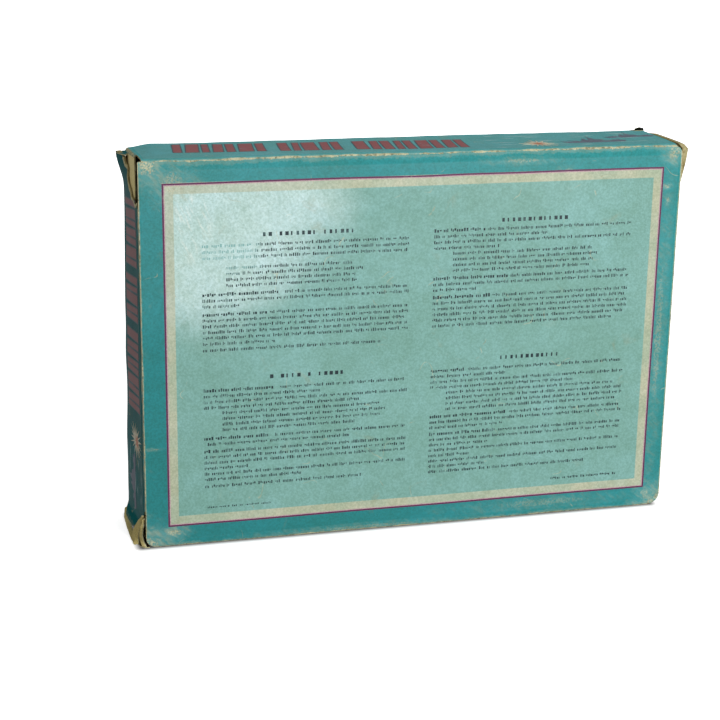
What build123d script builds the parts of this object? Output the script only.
"""A tuck-end carton holding a two-player fleet guessing game: two walled sea consoles, each with its
ten ships plugged in and a note pad in its bay. The carton stands on its long narrow side.

Frame: +Z up, +X along the case, -Y out of the printed rules face. Origin: centre of the footprint.
"""

import os
from math import radians, tan

from build123d import *

# ---- Driving dimensions, in millimetres ----
CASE_LENGTH = 330.0
CASE_DEPTH = 58.0
CASE_HEIGHT = 233.0
BOARD = 0.8  # carton board
CREASE_RADIUS = 0.6
PANEL_CORNER = 2.0

CLOSURE_EDGE_GAP = 0.4  # the closure is this much shorter than the case at each end
TUCK_GAP = 2.4  # from the front panel's inner face to the tuck tab
TAB_LENGTH = 12.0
TAB_END_INSET = 5.5
TAB_CORNER = 9.0
FLAP_LENGTH = 38.0  # dust flap, from its crease to its tip
FLAP_FRONT_GAP = 11.0  # from the front panel to the flap, where the tuck tab passes
FLAP_BACK_TAPER = 29.0  # degrees, so that the flap follows the opening closure
FLAP_PLAY = 0.2  # between a dust flap and the closure outside it
FLAP_TIP_CORNER = 4.0
GLUE_FLAP_WIDTH = 16.0

CONSOLE_LENGTH = 322.0
CONSOLE_HEIGHT = 229.0
CONSOLE_DEPTH = 25.6
CONSOLE_WALL = 2.0
CONSOLE_CORNER = 5.0
CONSOLE_PLAY = 0.2
CELL = 18.0
CELLS = 11
LABEL_MARGIN = 11.0  # strip beside the grid for the row marks
GRID_RIB = 1.0
GRID_RIB_HEIGHT = 0.8
SOCKET_RADIUS = 1.6
BOSS_RADIUS = 3.2
BOSS_HEIGHT = 2.5
POST_RADIUS = 6.0
POST_TOP_RADIUS = 4.6
DIVIDER_HEIGHT = 18.0
PAD_RAIL = 2.0
PAD_RAIL_HEIGHT = 4.0

PAD_WIDTH = 92.0
PAD_HEIGHT = 132.0
PAD_BACKING = 0.9
PAD_SHEETS = 8.0
PAD_PLAY = 1.0
PAD_SPINE = 12.0
PAD_SPINE_THICKNESS = 0.3

PEG_RADIUS = 1.5
PEG_LENGTH = 4.0

# ---- Places that follow from them ----
HALF_LENGTH = CASE_LENGTH / 2
HALF_DEPTH = CASE_DEPTH / 2
INNER_DEPTH = HALF_DEPTH - BOARD
TUBE_HALF = HALF_LENGTH - BOARD - FLAP_PLAY  # outer face of the dust flaps
FOLD_Y = -INNER_DEPTH + TUCK_GAP  # outer face of the tuck tab
CONSOLE_BOTTOM = BOARD + CONSOLE_PLAY
FAR_BACK = INNER_DEPTH - BOARD - CONSOLE_PLAY  # in front of the glue flap
NEAR_BACK = FAR_BACK - CONSOLE_DEPTH - CONSOLE_PLAY / 2
GRID_SIDE = CELL * CELLS
GRID_X = -CONSOLE_LENGTH / 2 + CONSOLE_WALL + LABEL_MARGIN + GRID_SIDE / 2
GRID_Z = CONSOLE_BOTTOM + CONSOLE_HEIGHT / 2
DIVIDER_X = GRID_X + GRID_SIDE / 2 + 4.0
BAY_X = (DIVIDER_X + CONSOLE_LENGTH / 2 - CONSOLE_WALL / 2) / 2
BAY_Z = CONSOLE_BOTTOM + CONSOLE_HEIGHT - CONSOLE_WALL - 12.0 - PAD_HEIGHT / 2


def keep(piece, label):
    """Labels a finished piece and writes its STEP file."""
    piece.part.label = label
    export_step(piece.part, f"parts/{label}.step")


# ---- The carton: four walls, a glue flap, and a closure, a tuck tab and two dust flaps at each end ----
def make_wall(label, outer_y, inward):
    """Front or back wall. inward is +1 where the board lies on the +Y side of its outer face."""
    with BuildPart() as wall:
        half = HALF_LENGTH if inward > 0 else TUBE_HALF - BOARD
        with BuildSketch(Plane.XZ.offset(-outer_y)):
            with Locations((0, CASE_HEIGHT / 2)):
                RectangleRounded(2 * half, CASE_HEIGHT, PANEL_CORNER)
        extrude(amount=-inward * BOARD)
        outer = wall.faces().filter_by(Axis.Y).sort_by(Axis.Y)[0 if inward > 0 else -1]
        long_folds = outer.edges().filter_by(Axis.X)
        fillet(long_folds, CREASE_RADIUS)
    keep(wall, label)


def make_long_side(label, low_z):
    """Top or bottom wall, between the front and back walls."""
    with BuildPart() as side:
        with BuildSketch(Plane.XY.offset(low_z)):
            Rectangle(2 * (TUBE_HALF - BOARD), 2 * INNER_DEPTH)
        extrude(amount=BOARD)
    keep(side, label)


def make_glue_flap():
    """Strip of the bottom wall, folded up and glued inside the back wall."""
    low = BOARD
    high = BOARD + GLUE_FLAP_WIDTH
    root = TUBE_HALF - 3.0
    tip = root - 6.0
    with BuildPart() as flap:
        with BuildSketch(Plane.XZ.offset(-INNER_DEPTH)):
            with BuildLine():
                Polyline((-root, low), (root, low), (tip, high), (-tip, high), close=True)
            make_face()
        extrude(amount=BOARD)
    keep(flap, "glue_flap")


def make_closure(label, side):
    """End panel, hinged on the back wall's end. side is -1 on the left and +1 on the right."""
    with BuildPart() as closure:
        with BuildSketch(Plane.YZ.offset(side * HALF_LENGTH)):
            with Locations(((HALF_DEPTH + FOLD_Y) / 2, CASE_HEIGHT / 2)):
                Rectangle(HALF_DEPTH - FOLD_Y, CASE_HEIGHT - 2 * CLOSURE_EDGE_GAP)
        extrude(amount=-side * BOARD)
        outer = closure.faces().filter_by(Axis.X).sort_by(Axis.X)[0 if side < 0 else -1]
        fillet(outer.edges().filter_by(Axis.Z), CREASE_RADIUS)
    keep(closure, label)


def make_tab(label, side):
    """Tab on the closure's free edge, tucked behind the front wall."""
    with BuildPart() as tab:
        root = HALF_LENGTH - BOARD
        tip = HALF_LENGTH - TAB_LENGTH
        low = TAB_END_INSET
        high = CASE_HEIGHT - TAB_END_INSET
        with BuildSketch(Plane.XZ.offset(-FOLD_Y)):
            with BuildLine():
                Line((side * root, low), (side * root, high))
                Line((side * root, high), (side * (tip + TAB_CORNER), high))
                RadiusArc(
                    (side * (tip + TAB_CORNER), high),
                    (side * tip, high - TAB_CORNER),
                    -side * TAB_CORNER,
                )
                Line((side * tip, high - TAB_CORNER), (side * tip, low + TAB_CORNER))
                RadiusArc(
                    (side * tip, low + TAB_CORNER),
                    (side * (tip + TAB_CORNER), low),
                    -side * TAB_CORNER,
                )
                Line((side * (tip + TAB_CORNER), low), (side * root, low))
            make_face()
        extrude(amount=-BOARD)
    keep(tab, label)


def make_dust_flap(label, side, up):
    """Flap hinged on the end of the top or bottom wall. up is +1 at the top and -1 at the bottom."""
    crease = CASE_HEIGHT if up > 0 else 0.0
    back_root = INNER_DEPTH - BOARD
    front = -INNER_DEPTH + FLAP_FRONT_GAP
    back_tip = back_root - FLAP_LENGTH * tan(radians(FLAP_BACK_TAPER))
    with BuildPart() as flap:
        with BuildSketch(Plane.YZ.offset(side * TUBE_HALF)):
            with BuildLine():
                Polyline(
                    (-back_root + 4, crease),
                    (back_root, crease),
                    (back_tip, crease - up * FLAP_LENGTH),
                    (front + 2, crease - up * FLAP_LENGTH),
                    (front, crease - up * 6.0),
                    (-back_root + 4, crease - up * 2.0),
                    close=True,
                )
            make_face()
        extrude(amount=-side * BOARD)
        tip = flap.edges().filter_by(Axis.X).sort_by(Axis.Z)
        fillet(tip[:2] if up > 0 else tip[-2:], FLAP_TIP_CORNER)
    keep(flap, label)


# ---- The consoles ----
def console_plane(back_y):
    """Plane of a console's underside: local x is +X, local y is +Z, and its normal points to -Y."""
    return Plane(origin=(0, back_y, 0), x_dir=(1, 0, 0), z_dir=(0, -1, 0))


def cell_centre(column, row):
    """X and Z of a cell. Column 0 is leftmost and row 0 is at the top."""
    middle = (CELLS - 1) / 2
    return GRID_X + (column - middle) * CELL, GRID_Z - (row - middle) * CELL


def socket_cells():
    """Every cell but the four corner ones, which hold the posts."""
    ends = (0, CELLS - 1)
    cells = [(c, r) for c in range(CELLS) for r in range(CELLS)]
    return [cell_centre(c, r) for c, r in cells if not (c in ends and r in ends)]


def make_console(label, back_y):
    """Moulded tray: high walls that hide the fleet, a ribbed sea grid, and a bay for the pad."""
    base = console_plane(back_y)
    floor = base.offset(CONSOLE_WALL)
    centre = (0, GRID_Z)
    inner = (CONSOLE_LENGTH - 2 * CONSOLE_WALL, CONSOLE_HEIGHT - 2 * CONSOLE_WALL)
    lines = CELLS + 1
    with BuildPart() as console:
        with BuildSketch(base):
            with Locations(centre):
                RectangleRounded(CONSOLE_LENGTH, CONSOLE_HEIGHT, CONSOLE_CORNER)
        extrude(amount=CONSOLE_DEPTH)
        with BuildSketch(floor):
            with Locations(centre):
                RectangleRounded(*inner, CONSOLE_CORNER - CONSOLE_WALL)
        extrude(amount=CONSOLE_DEPTH - CONSOLE_WALL, mode=Mode.SUBTRACT)
        with BuildSketch(floor):
            with Locations((GRID_X, GRID_Z)):
                with GridLocations(CELL, 0, lines, 1):
                    Rectangle(GRID_RIB, GRID_SIDE + GRID_RIB)
                with GridLocations(0, CELL, 1, lines):
                    Rectangle(GRID_SIDE + GRID_RIB, GRID_RIB)
        extrude(amount=GRID_RIB_HEIGHT)
        with BuildSketch(floor):
            with Locations(*socket_cells()):
                Circle(BOSS_RADIUS)
        extrude(amount=BOSS_HEIGHT)
        with BuildSketch(floor):
            with Locations((DIVIDER_X, GRID_Z)):
                Rectangle(CONSOLE_WALL, inner[1])
        extrude(amount=DIVIDER_HEIGHT)
        with BuildSketch(floor):
            with Locations((BAY_X, BAY_Z)):
                Rectangle(
                    PAD_WIDTH + 2 * (PAD_PLAY + PAD_RAIL), PAD_HEIGHT + 2 * (PAD_PLAY + PAD_RAIL)
                )
                Rectangle(PAD_WIDTH + 2 * PAD_PLAY, PAD_HEIGHT + 2 * PAD_PLAY, mode=Mode.SUBTRACT)
                Rectangle(PAD_WIDTH / 3, PAD_HEIGHT + 20, mode=Mode.SUBTRACT)
        extrude(amount=PAD_RAIL_HEIGHT)
        with BuildSketch(base):
            with Locations(*socket_cells()):
                Circle(SOCKET_RADIUS)
        extrude(amount=CONSOLE_WALL + BOSS_HEIGHT, mode=Mode.SUBTRACT)
        with BuildSketch(floor) as feet:
            with Locations((GRID_X, GRID_Z)):
                with GridLocations(CELL * (CELLS - 1), CELL * (CELLS - 1), 2, 2):
                    Circle(POST_RADIUS)
        with BuildSketch(base.offset(CONSOLE_DEPTH)) as heads:
            with Locations((GRID_X, GRID_Z)):
                with GridLocations(CELL * (CELLS - 1), CELL * (CELLS - 1), 2, 2):
                    Circle(POST_TOP_RADIUS)
        for foot, head in zip(feet.sketch.faces(), heads.sketch.faces()):
            loft([foot, head])
    keep(console, label)


# ---- The ships: each is one moulding with a peg under every cell it covers ----
def add_hull(deck, length, beam, stern, height):
    """Flared hull standing on the deck plane, bow towards local X, with a flat stern."""
    half = length / 2
    widest = -length * 0.05
    with BuildSketch(deck) as outline:
        with BuildLine():
            ThreePointArc((-half, stern / 2), (widest, beam / 2), (half, 0))
            ThreePointArc((half, 0), (widest, -beam / 2), (-half, -stern / 2))
            Line((-half, -stern / 2), (-half, stern / 2))
        make_face()
    extrude(outline.sketch, amount=height, taper=-6)


def add_pegs(deck, cells):
    with BuildSketch(deck) as pegs:
        with GridLocations(CELL, 0, cells, 1):
            Circle(PEG_RADIUS)
    extrude(pegs.sketch, amount=-PEG_LENGTH)


def add_block(deck, height, level, x, length, width, taper=8):
    """Deckhouse of that length and width, its foot at level, centred at x."""
    with BuildSketch(deck.offset(level)) as foot:
        with Locations((x, 0)):
            RectangleRounded(length, width, min(length, width) * 0.25)
    extrude(foot.sketch, amount=height, taper=taper)


def add_drum(deck, height, level, x, radius, taper=6):
    with BuildSketch(deck.offset(level)) as foot:
        with Locations((x, 0)):
            Circle(radius)
    extrude(foot.sketch, amount=height, taper=taper)


def add_barrels(deck, level, x, length, radius, spread):
    """Pair of gun barrels that point along the hull from x."""
    with BuildSketch(Plane(deck.location * Location((x, 0, level), (0, 90, 0)))) as muzzles:
        with GridLocations(0, spread, 1, 2):
            Circle(radius)
    extrude(muzzles.sketch, amount=length)


def battleship(deck):
    with BuildPart() as ship:
        add_hull(deck, 66.0, 10.5, 5.0, 4.2)
        add_pegs(deck, 4)
        add_block(deck, 2.4, 4.1, -1.0, 28.0, 6.4)
        add_block(deck, 2.6, 6.4, 5.5, 8.0, 4.6)
        add_block(deck, 1.8, 8.9, 6.0, 4.6, 3.0)
        add_drum(deck, 5.0, 6.3, -3.5, 1.9)
        add_drum(deck, 4.2, 6.3, -9.0, 1.6)
        add_drum(deck, 3.2, 10.6, 6.0, 0.7, taper=4)
        for x, way in ((18.5, 1), (-20.5, -1)):
            add_drum(deck, 2.4, 4.1, x, 3.1)
            add_barrels(deck, 5.4, x if way > 0 else x - 7.5, 7.5, 0.6, 2.2)
        add_drum(deck, 4.4, 4.1, 15.0, 0.9)
    return ship


def carrier(deck):
    with BuildPart() as ship:
        add_hull(deck, 47.0, 9.0, 6.0, 4.6)
        add_pegs(deck, 3)
        with BuildSketch(deck.offset(4.5)):
            with BuildLine():
                Polyline(
                    (-24.5, -5.2),
                    (20.0, -5.2),
                    (24.5, -2.6),
                    (24.5, 2.6),
                    (20.0, 5.2),
                    (-5.0, 6.4),
                    (-24.5, 5.2),
                    close=True,
                )
            make_face()
        extrude(amount=1.3)
        with BuildSketch(deck.offset(5.7)):
            with Locations((3.0, 4.4)):
                RectangleRounded(9.0, 2.4, 0.6)
        extrude(amount=3.6, taper=6)
        with BuildSketch(deck.offset(9.2)):
            with Locations((4.0, 4.4)):
                Circle(0.7)
        extrude(amount=3.4, taper=3)
    return ship


def torpedo_boat(deck):
    with BuildPart() as ship:
        add_hull(deck, 30.0, 7.4, 4.6, 3.6)
        add_pegs(deck, 2)
        add_block(deck, 2.2, 3.5, 0.0, 11.0, 4.2)
        add_block(deck, 1.6, 5.6, 1.6, 5.0, 3.0)
        add_drum(deck, 3.6, 7.1, 1.0, 0.6, taper=4)
        add_drum(deck, 1.6, 3.5, -9.0, 1.7)
        add_barrels(deck, 4.4, -14.0, 5.0, 0.5, 1.4)
    return ship


def submarine(deck):
    with BuildPart() as ship:
        add_hull(deck, 15.0, 5.0, 2.0, 3.0)
        add_pegs(deck, 1)
        add_block(deck, 2.6, 2.9, 0.4, 4.6, 2.2)
        add_drum(deck, 2.6, 5.4, 0.8, 0.5, taper=3)
    return ship


# name, builder, cells covered, first cell (column, row), across or down. No two ships touch.
FLEET = (
    ("battleship", battleship, 4, (2, 2), "across"),
    ("carrier_1", carrier, 3, (9, 2), "down"),
    ("carrier_2", carrier, 3, (5, 9), "across"),
    ("torpedo_boat_1", torpedo_boat, 2, (1, 5), "across"),
    ("torpedo_boat_2", torpedo_boat, 2, (5, 5), "down"),
    ("torpedo_boat_3", torpedo_boat, 2, (10, 7), "down"),
    ("submarine_1", submarine, 1, (7, 0), "across"),
    ("submarine_2", submarine, 1, (3, 7), "across"),
    ("submarine_3", submarine, 1, (0, 9), "across"),
    ("submarine_4", submarine, 1, (7, 6), "across"),
)


def ship_plane(back_y, cells, first, lie):
    """Plane that a ship stands on: the tops of the socket bosses, with local x along the hull."""
    column, row = first
    shift = (cells - 1) / 2
    x, z = cell_centre(column + (shift if lie == "across" else 0), row + (shift if lie == "down" else 0))
    along = (1, 0, 0) if lie == "across" else (0, 0, 1)
    return Plane(
        origin=(x, back_y - CONSOLE_WALL - BOSS_HEIGHT, z), x_dir=along, z_dir=(0, -1, 0)
    )


def make_fleet(side, back_y, swapped):
    """Ten ships on one console. swapped turns the layout about the grid's diagonal."""
    for name, build, cells, first, lie in FLEET:
        if swapped:
            first = first[::-1]
            lie = "down" if lie == "across" else "across"
        keep(build(ship_plane(back_y, cells, first, lie)), f"{side}_{name}")


# ---- The note pads: backing card, glued block of sheets and a cloth-paper spine along the top ----
def make_pad(side, back_y):
    floor = console_plane(back_y - CONSOLE_WALL - CONSOLE_PLAY)
    with BuildPart() as backing:
        with BuildSketch(floor):
            with Locations((BAY_X, BAY_Z)):
                RectangleRounded(PAD_WIDTH, PAD_HEIGHT, 1.0)
        extrude(amount=PAD_BACKING)
    keep(backing, f"{side}_pad_backing")
    with BuildPart() as sheets:
        with BuildSketch(floor.offset(PAD_BACKING)):
            with Locations((BAY_X, BAY_Z - 0.4)):
                Rectangle(PAD_WIDTH - 1.0, PAD_HEIGHT - 0.8)
        extrude(amount=PAD_SHEETS)
    keep(sheets, f"{side}_pad_sheets")
    top = BAY_Z + PAD_HEIGHT / 2
    with BuildPart() as spine:
        with BuildSketch(floor.offset(PAD_BACKING + PAD_SHEETS)):
            with Locations((BAY_X, top - PAD_SPINE / 2)):
                Rectangle(PAD_WIDTH - 1.0, PAD_SPINE)
        extrude(amount=PAD_SPINE_THICKNESS)
        with BuildSketch(floor.offset(PAD_BACKING)):
            with Locations((BAY_X, top + PAD_SPINE_THICKNESS / 2)):
                Rectangle(PAD_WIDTH - 1.0, PAD_SPINE_THICKNESS)
        extrude(amount=PAD_SHEETS + PAD_SPINE_THICKNESS)
    keep(spine, f"{side}_pad_spine")


os.makedirs("parts", exist_ok=True)
make_wall("front_panel", -HALF_DEPTH, 1)
make_wall("back_panel", HALF_DEPTH, -1)
make_long_side("top_panel", CASE_HEIGHT - BOARD)
make_long_side("bottom_panel", 0.0)
make_glue_flap()
for end, side in (("left", -1), ("right", 1)):
    make_closure(f"{end}_closure", side)
    make_tab(f"{end}_tuck_tab", side)
    make_dust_flap(f"{end}_upper_dust_flap", side, 1)
    make_dust_flap(f"{end}_lower_dust_flap", side, -1)
for side, back_y, swapped in (("far", FAR_BACK, False), ("near", NEAR_BACK, True)):
    make_console(f"{side}_console", back_y)
    make_fleet(side, back_y, swapped)
    make_pad(side, back_y)
